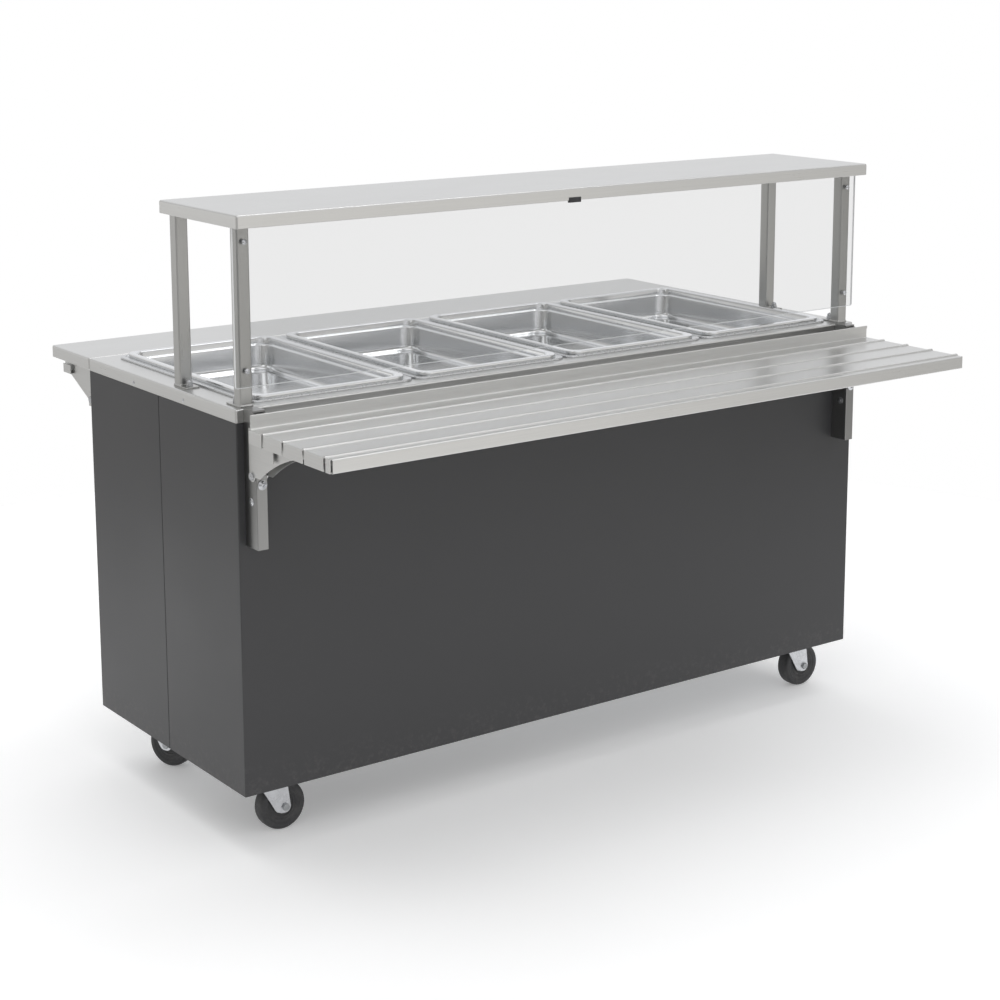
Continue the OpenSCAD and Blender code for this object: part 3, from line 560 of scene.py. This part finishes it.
def pan(i):
    low, high = corners(f"pan_{i}")
    cx, cy = (low.x + high.x) / 2, (low.y + high.y) / 2
    longer = 528 - 325
    inside = pan_profile(high.z, low.z - 0.2)
    outside = beside(inside, -0.9)
    bm = bmesh.new()
    rows = [ring(cx, cy, 2 * u, 2 * u + longer, pan_corner(u), z, 8) for u, z in inside]
    under = [
        ring(cx, cy, 2 * q[0], 2 * q[0] + longer, pan_corner(p[0]) + q[0] - p[0], q[1], 8)
        for p, q in zip(inside, outside)
    ]
    made = skin(bm, rows)
    bm.faces.new(made[-1])
    made = skin(bm, [rows[0]] + under)
    bm.faces.new(made[-1])
    piece(f"pan_{i}_shell", bm, [M["pan"]], f"pan_{i}", [f"pan_{i}"])


# ---- Overshelf, posts and guard ----

def overshelf():
    low, high = corners("overshelf")
    bm = bmesh.new()
    folded_sheet(bm, low, high, high.z - low.z)
    piece("overshelf_sheet", bm, [M["top"]], "cabinet", ["overshelf"])


def shelf_posts():
    """Square tubes, each welded to a foot plate that runs towards the middle."""
    low, high = corners("shelf_posts")
    post, overhang, foot, weld = 25, 2, 3, 2.2
    length = post + 26
    bm = bmesh.new()
    for x in (low.x + overhang, high.x - overhang - post):
        for front in (True, False):
            y = low.y if front else high.y - post
            foot_y = low.y if front else high.y - length
            base = low.z + foot
            tube(bm, Vector((x, y, base)), Vector((x + post, y + post, high.z)), 3, 2)
            slab(
                bm, (x - overhang, foot_y, low.z), (x + post + overhang, foot_y + length, base), 3
            )
            bead = [(0, base + weld), (-weld * 0.3, base + weld * 0.4), (-weld * 0.8, base)]
            cx, cy = x + post / 2, y + post / 2
            skin(bm, [ring(cx, cy, post - 2 * i, post - 2 * i, 3 - i, z, 4) for i, z in bead])
    piece("shelf_post_set", bm, [M["post"]], "cabinet", ["shelf_posts"], 0.25)


def guard():
    """One clear sheet with round corners. Its polished edges get a near-white, nearly opaque material:
    a painted highlight.
    """
    low, high = corners("guard")
    bm = bmesh.new()
    slab(bm, low, high, 4, "y", 0.5)
    bm.normal_update()
    for face in bm.faces:
        face.material_index = 0 if abs(face.normal.y) > 0.9 else 1
    materials = [M["guard"], M["guard_edge_highlight"]]
    piece("guard_sheet", bm, materials, "cabinet", ["guard"])


# ---- Tray slide and work shelf ----

def tray_path(back, front, top, edge):
    """The top face of the tray's sheet in (y, z), from the rear hem to the front return."""
    points = [(back - 1.7, top + 20), (back - 1.7, top + 24.5), (back - SHEET, top + 24.5)]
    radii = [0.08, 0.08, 3.0]
    points.append((back - SHEET, top))
    for y in ribs(back):
        round_ = rib_arc(y, top)
        points += round_
        radii += [0.3] * len(round_)
    points += [(front, top), (front, top - edge), (front + 10, top - edge)]
    radii += [4.0, 2.0]
    return bent(points, radii)


def rib_arc(y, top):
    """A round rib 8 mm wide and 3 mm high on a sheet's top face, from its rear foot."""
    r, sunk, foot = 4.17, 1.17, 16.3
    return arc(y, top - sunk, r, foot, 180 - foot, 8)


def ribs(back):
    return [back - 49 - 69 * k for k in range(4)]


def tray_slide():
    """A ribbed sheet with a hemmed upstand, a front flange and end tabs cut at each rib."""
    low, high = corners("tray_slide")
    top = high.z - 26
    drop = top - low.z
    bm = bmesh.new()
    tab, slit = 4.0, 3.2     # a tab's depth, and half the slit between two tabs
    section = ribbon(tray_path(high.y, low.y, top, drop), SHEET)
    prism(bm, section, low.x + tab, high.x - tab, "x")
    cuts = [high.y + slit - SHEET] + ribs(high.y) + [low.y - slit + 3]
    for x, side in ((low.x, 1), (high.x, -1)):
        corner = [(x + side * tab, top), (x, top), (x, top - drop + 0.5)]
        outline = ribbon(bent(corner, [2.4]), side * SHEET)
        for back, front in zip(cuts, cuts[1:]):
            prism(bm, outline, front + slit, back - slit, "y")
        for y in ribs(high.y):
            rib = [(y + 4.4, top)] + rib_arc(y, top) + [(y - 4.4, top)]
            prism(bm, ribbon(rib, SHEET), *sorted((x, x + side * tab)), "x")
    piece("tray_slide_sheet", bm, [M["top"]], "tray", ["tray_slide"])


def tray_brackets():
    """Upright box tubes down the front of the cabinet, each with a plate over the lip."""
    low, high = corners("tray_brackets")
    wide, wall, overhang = 22, 2, 2
    bm = bmesh.new()
    for side, x in ((1, low.x), (-1, high.x)):
        ends = sorted((x + side * overhang, x + side * (overhang + wide)))
        under = high.z - 2.5 - SHEET
        tube(bm, Vector((ends[0], low.y, low.z)), Vector((ends[1], high.y, under)), 1.6, wall)
        cover = sorted((x, x + side * (wide + 2 * overhang)))
        slab(bm, (cover[0], low.y + 5, under), (cover[1], high.y - 4, high.z), 2)
        slab(bm, (ends[0] + 1, low.y + 1, low.z + 0.3), (ends[1] - 1, high.y - 1, low.z + 2.3), 1.6)
    piece(
        "tray_bracket_pair", bm, [M["bracket"]], "cabinet", ["tray_brackets"],
        0.3,
    )


def work_shelf():
    low, high = corners("rear_shelf")
    bm = bmesh.new()
    folded_sheet(bm, low, high, high.z - low.z)
    piece("work_shelf_sheet", bm, [M["top"]], "work_shelf", ["rear_shelf"])


# ---- Casters ----

def caster_place(corner):
    """The caster's own place: X from the swivel axis towards the axle, Z from the floor."""
    swivel, roll = joint_at("swivel_" + corner), joint_at("roll_" + corner)
    along = Vector((roll.x - swivel.x, roll.y - swivel.y, 0)).normalized()
    across = Vector((-along.y, along.x, 0))
    place = Matrix((along, across, Vector((0, 0, 1)))).transposed().to_4x4()
    return Matrix.Translation((swivel.x, swivel.y, 0)) @ place


def between(z, table):
    """The left and right edge of a fork leg at a height."""
    for (z0, a0, b0), (z1, a1, b1) in zip(table, table[1:]):
        if z1 <= z <= z0:
            t = (z0 - z) / (z0 - z1)
            return a0 + (a1 - a0) * t, b0 + (b1 - b0) * t
    return table[0][1:] if z > table[0][0] else table[-1][1:]


def fork_table(crown, axle, trail, braked):
    """Heights with the leg's left and right edge, from the crown down round the axle."""
    right = [(crown, 30), (axle + 36, trail + 7), (axle, trail + 12)]
    if braked:
        right = [(crown, 52), (crown - 18, 52), (axle + 36, trail + 8), (axle, trail + 12)]
    left = [(crown, -34), (axle, trail - 22.4)]
    foot = [(axle - 6, trail - 19, trail + 10.4), (axle - 9, trail - 16, trail + 8)]
    foot += [(axle - 11.4, trail - 9, trail + 4), (axle - 12, trail - 2, trail + 1)]
    table = []
    for z, x in right:
        k = (crown - z) / (crown - axle)
        table.append((z, left[0][1] + (left[1][1] - left[0][1]) * k, x))
    return table + foot


def fork(corner):
    """A pressed fork: a crown bent down into two tapering legs, each with an upright crease."""
    name = "fork_" + corner
    crown = joint_at("swivel_" + corner).z
    axle = joint_at("roll_" + corner).z
    trail = (joint_at("roll_" + corner) - joint_at("swivel_" + corner)).to_2d().length
    table = fork_table(crown, axle, trail, "rear" in corner)
    half, thick, bend, dent = 22.5, 3.0, 5.0, 3.2
    crease = trail - 13
    heights = [z for z, _, _ in reversed(table) if z < crown - bend]
    heights += [crown - 20, crown - 10]
    side = [(half, z) for z in sorted(set(heights))]
    side += arc(half - bend, crown - bend, bend, 0, 90, 5)
    path = [(y, z) for y, z in side] + [(0, crown)] + [(-y, z) for y, z in reversed(side)]
    inner = beside(path, thick)
    rows = []
    for (y, z), (iy, iz) in zip(path, inner):
        left, right = between(z, table)
        if z > crown - 3 and abs(y) < half - 3:
            right = min(right, 30)
        sink = dent * min(max((crown - 8 - z) / 24, 0), 1)
        bend_at = min(max(crease, left + 0.5), right - 0.5)
        row = [(left, math.copysign(sink, y)), (bend_at, 0), (right, 0)]
        outer_side = [(x, y - in_, z) for x, in_ in row]
        inner_side = [(x, iy - in_, iz) for x, in_ in reversed(row)]
        rows.append(outer_side + inner_side)
    bm = bmesh.new()
    capped(bm, rows)
    disc = [(0, crown - 3.4), (30, crown - 3.4), (30, crown - 0.2), (0, crown - 0.2)]
    turned(bm, disc, (0, 0, 0), (0, 0, 1))
    bmesh.ops.transform(bm, matrix=caster_place(corner), verts=bm.verts)
    piece(name + "_pressing", bm, [M["fork"]], "caster_" + corner, [name], 0.4)


def wheel(corner):
    """A solid wheel: a proud boss, a dished core with a raised ring, and a round-shouldered tread."""
    name = "wheel_" + corner
    r = joint_at("roll_" + corner).z
    half = [(5.1, 18), (11.2, 18), (12, 17.2), (13.2, 12.6), (15.6, 12.2), (16.2, 13.2), (17.8, 13.2)]
    half += [(18.4, 12.1), (21.6, 11.8), (22.2, 12.8), (26.6, 12.8), (27.4, 12.2), (28.6, 13.4)]
    half += [(r - 15, 14), (r - 13.6, 14.4), (r - 12.4, 15.6), (r - 11, 16), (r - 5.5, 16)]
    half += [(r - 3, 15), (r - 1.3, 12.6), (r - 0.4, 9.6), (r, 6)]
    profile = half + [(a, -h) for a, h in reversed(half)] + [half[0]]
    bm = bmesh.new()
    turned(bm, profile, (0, 0, 0), (0, 1, 0), 96)
    reach = (joint_at("roll_" + corner) - joint_at("swivel_" + corner)).to_2d().length
    place = caster_place(corner) @ Matrix.Translation((reach, 0, r))
    bmesh.ops.transform(bm, matrix=place, verts=bm.verts)
    piece(name + "_tyre", bm, [M["rubber"]], name, [name])


# ---- Controls ----

def knob(i):
    """A fluted knob with a bar grip and a painted pointer, its axis along Y."""
    low, high = corners(f"knob_{i}")
    cx, cz = (low.x + high.x) / 2, (low.z + high.z) / 2
    bm = bmesh.new()
    skirt = [(3.1, 0), (22.6, 0), (23, 0.5), (23, 2.2), (22, 3), (3.1, 3)]
    turned(bm, skirt + [skirt[0]], (cx, low.y, cz), (0, 1, 0))
    flutes, steps = 20, 160
    rows = []
    for r, h in ((19.8, 3), (19.8, 10.8), (19.2, 11.7), (18, 12), (0, 12)):
        row = []
        for a in angles(steps):
            wave = 0.5 * (0.5 + 0.5 * math.cos(a * flutes)) * (1 if r > 19 else 0)
            row.append((cx + (r - wave) * math.cos(a), low.y + h, cz + (r - wave) * math.sin(a)))
        rows.append(row)
    skin(bm, rows)
    rows = []
    for h, wide, tall in ((10, 4.6, 19), (20.5, 3.4, 18.4), (21.6, 3.0, 17.8), (22, 2.2, 17)):
        outline = rectangle(cx - wide, cz - tall, cx + wide, cz + tall, wide * 0.8)
        rows.append([(x, low.y + h, z) for x, z in outline])
    capped(bm, rows)
    for face in bm.faces:
        face.material_index = 0
    painted = len(bm.faces)
    prism(bm, rectangle(cx - 0.7, cz + 3, cx + 0.7, cz + 16.6, 0.6), low.y + 21.6, low.y + 22.0, "y")
    bm.faces.ensure_lookup_table()
    for face in bm.faces[painted:]:
        face.material_index = 1
    materials = [M["plastic"], M["mark"]]
    piece(f"knob_{i}_grip", bm, materials, f"knob_{i}", [f"knob_{i}"])


# ---- CAD parts that keep their shape ----

def dress_frame():
    dress(["base_deck", "uprights", "long_rails", "cross_rails"], M["frame"], 0.4)
    dress(["control_panel"], M["top"])
    dress(["heating_elements"], M["heater"])
    dress(["drain_manifold"], M["pipe"])
    dress(["drain_valve"], M["brass"])
    dress(["thermostats"], M["cream"])
    dress(["indicator_lights"], M["amber"])
    dress(["switch_housing", "power_inlet"], M["plastic"])
    dress(["power_rocker", "drain_lever"], M["red"])
    dress(["guard_clip"], M["clip"], 0.2)
    dress(["guard_screws", "post_bolts", "lip_rivets", "bracket_bolts", "pivot_pins"], M["zinc"], 0.2)
    dress(["caster_plates"], M["zinc"], 0.3)
    dress(["caster_bolts"], M["black"], 0.3)
    dress(["shelf_brackets", "tray_arms", "shelf_arms"], M["arm"], 0.3)
    dress(["axle_" + corner for corner in CORNERS], M["axle"], 0.8)
    dress(["brake_rear_left", "brake_rear_right"], M["fork"], 0.3)


# ---- Floor, light and camera ----

FLOOR_RADIUS = 2.4
# Each zone of the room: its direction, where it starts and is full in degrees, its colour
STUDIO = [
    ((0.55, 0.80, 0.22), 70, 30, (0.86, 0.865, 0.88)),
    ((0.0, -0.75, 0.66), 55, 20, (1.0, 1.0, 1.01)),
    ((0.44, -0.89, -0.10), 26, 8, (0.86, 0.845, 0.82)),
    ((-0.57, 0.82, -0.02), 14, 3, (1.0, 0.99, 0.975)),
    ((-0.12, 0.22, 0.96), 20, 10, (1.3, 1.3, 1.31)),
    ((0.48, -0.05, 0.87), 12, 6, (3.4, 3.4, 3.42)),
    ((-0.80, -0.30, 0.52), 18, 8, (1.4, 1.4, 1.4)),
]


def floor():
    """A round of pale paper. Beyond it the world goes on in white."""
    bm = bmesh.new()
    bmesh.ops.create_circle(bm, cap_ends=True, radius=FLOOR_RADIUS, segments=128)
    mesh = bpy.data.meshes.new("floor")
    bm.to_mesh(mesh)
    bm.free()
    pale = (0.93, 0.932, 0.935)
    material, tree, base = shader("floor_paper", pale, 0.8)
    tone = mixed(tree, remap(tree, noise(tree, (0.5,) * 3), 0, 1), shade(pale, 0.99), shade(pale, 1.0))
    tree.links.new(tone, base.inputs["Base Color"])
    base.inputs["Emission Color"].default_value = (*pale, 1)
    base.inputs["Emission Strength"].default_value = 0.23
    mesh.materials.append(material)
    obj = bpy.data.objects.new("floor", mesh)
    bpy.context.scene.collection.objects.link(obj)


def towards(tree, place, direction, start, end):
    """Rises from 0 to 1 as the world's direction turns from start to end degrees off a direction."""
    unit = Vector(direction).normalized()
    dot = wire(tree, "VectorMath", {0: place, 1: unit}, operation="DOT_PRODUCT").outputs["Value"]
    wide, narrow = math.cos(math.radians(start)), math.cos(math.radians(end))
    sizes = {"Value": dot, "From Min": wide, "From Max": narrow}
    return wire(tree, "MapRange", sizes, interpolation_type="SMOOTHSTEP").outputs[0]


def sky():
    """A studio: a dim room with brighter zones. What the camera sees is white."""
    world = bpy.data.worlds.new("studio")
    bpy.context.scene.world = world
    world.use_nodes = True
    tree = world.node_tree
    tree.nodes.clear()
    place = wire(tree, "TexCoord", {}).outputs["Generated"]
    colour = (0.46, 0.455, 0.445, 1)
    for direction, start, end, tint in STUDIO:
        colour = mixed(tree, towards(tree, place, direction, start, end), colour, (*tint, 1))
    seen = wire(tree, "LightPath", {}).outputs["Is Camera Ray"]
    colour = mixed(tree, seen, colour, (1, 1, 1, 1))
    back = wire(tree, "Background", {"Color": colour, "Strength": 1.0})
    wire(tree, "OutputWorld", {"Surface": back.outputs[0]})


def lamp(name, at, size, power, target=(0, 0, 0.6)):
    """A soft square light that adds light and no reflection of its own."""
    data = bpy.data.lights.new(name, "AREA")
    data.shape = "SQUARE"
    data.size = size
    data.energy = power
    obj = bpy.data.objects.new(name, data)
    bpy.context.scene.collection.objects.link(obj)
    obj.location = at
    obj.rotation_euler = (Vector(target) - Vector(at)).to_track_quat("-Z", "Y").to_euler()
    obj.visible_glossy = False
    obj.visible_camera = False


def camera():
    data = bpy.data.cameras.new("camera")
    data.lens = 75.62
    data.sensor_width = 36
    data.shift_x = -0.0235
    data.shift_y = -0.15
    data.clip_end = 200
    obj = bpy.data.objects.new("camera", data)
    bpy.context.scene.collection.objects.link(obj)
    obj.location = (-2.500, -3.439, 1.630)
    yaw, pitch = math.radians(36.416), math.radians(-10.69)
    look = Vector((math.sin(yaw) * math.cos(pitch), math.cos(yaw) * math.cos(pitch), math.sin(pitch)))
    obj.rotation_euler = look.to_track_quat("-Z", "Y").to_euler()
    bpy.context.scene.camera = obj


camera()
worktop()
front_panel()
end_panels()
overshelf()
shelf_posts()
guard()
tray_slide()
tray_brackets()
work_shelf()
for number in range(1, 5):
    well(number)
    pan(number)
    knob(number)
for corner_name in CORNERS:
    fork(corner_name)
    wheel(corner_name)
dress_frame()
floor()
sky()
lamp("overhead", (-0.3, 0.6, 4.2), 3.0, 40)
bpy.context.scene.view_settings.view_transform = "Standard"
